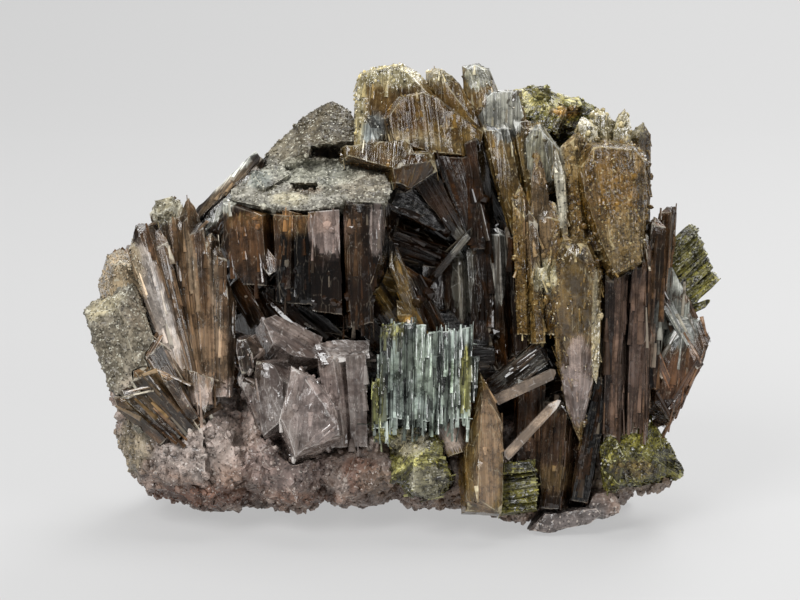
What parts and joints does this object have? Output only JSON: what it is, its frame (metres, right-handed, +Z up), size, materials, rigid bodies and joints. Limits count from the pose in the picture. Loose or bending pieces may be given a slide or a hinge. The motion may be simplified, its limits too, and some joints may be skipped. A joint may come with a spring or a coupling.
{
  "type": "axinite specimen",
  "caption": "Hand-sized mineral specimen: brown axinite blades and green epidote columns on a mauve-grey matrix, standing on a flat cut.",
  "frame": {"origin": "the middle of the flat cut that the specimen rests on", "axes": "+Z up, +X along the specimen's width to the right as its display face is seen, -Y towards whoever looks at the display face"},
  "size_m": [0.1425, 0.0827, 0.1008],
  "materials": {
    "brown_axinite": "clove-brown translucent crystal, striated, stone",
    "dark_axinite": "dark brown translucent crystal, glossy, stone",
    "honey_axinite": "honey-brown translucent crystal with cloudy rims, stone",
    "tan_axinite": "tan translucent crystal with a sugary skin, stone",
    "lilac_axinite": "frosted lilac-grey crystal, stone",
    "grey_crust": "grey granular crust, matt, stone",
    "epidote": "yellow-green striated crystal, satin, stone",
    "dark_epidote": "steel-green striated crystal, shiny, stone",
    "matrix_rock": "mauve-grey granular rock with rusty patches, matt, stone"
  },
  "bodies": {
    "root": {"fin_crystal": "honey_axinite", "upper_lath": "lilac_axinite", "lower_lath": "lilac_axinite", "front_slab": "matrix_rock", "epidote_fence": "dark_epidote", "epidote_shelf": "epidote", "epidote_side_bundle": "epidote", "epidote_crown": "epidote", "epidote_flank": "epidote", "epidote_corner": "epidote", "right_crown": "tan_axinite", "right_columns": "brown_axinite", "low_prisms": "dark_axinite", "left_spray": "brown_axinite", "corner_block": "grey_crust", "lilac_crystals": "lilac_axinite", "grey_crust": "grey_crust", "plateau_crystals": "brown_axinite", "top_crystals": "honey_axinite", "hollow_crystals": "dark_axinite", "back_fan": "brown_axinite", "back_right_columns": "dark_axinite", "back_left_columns": "dark_axinite", "back_epidote": "epidote", "matrix": "matrix_rock"}
  },
  "joints": []
}
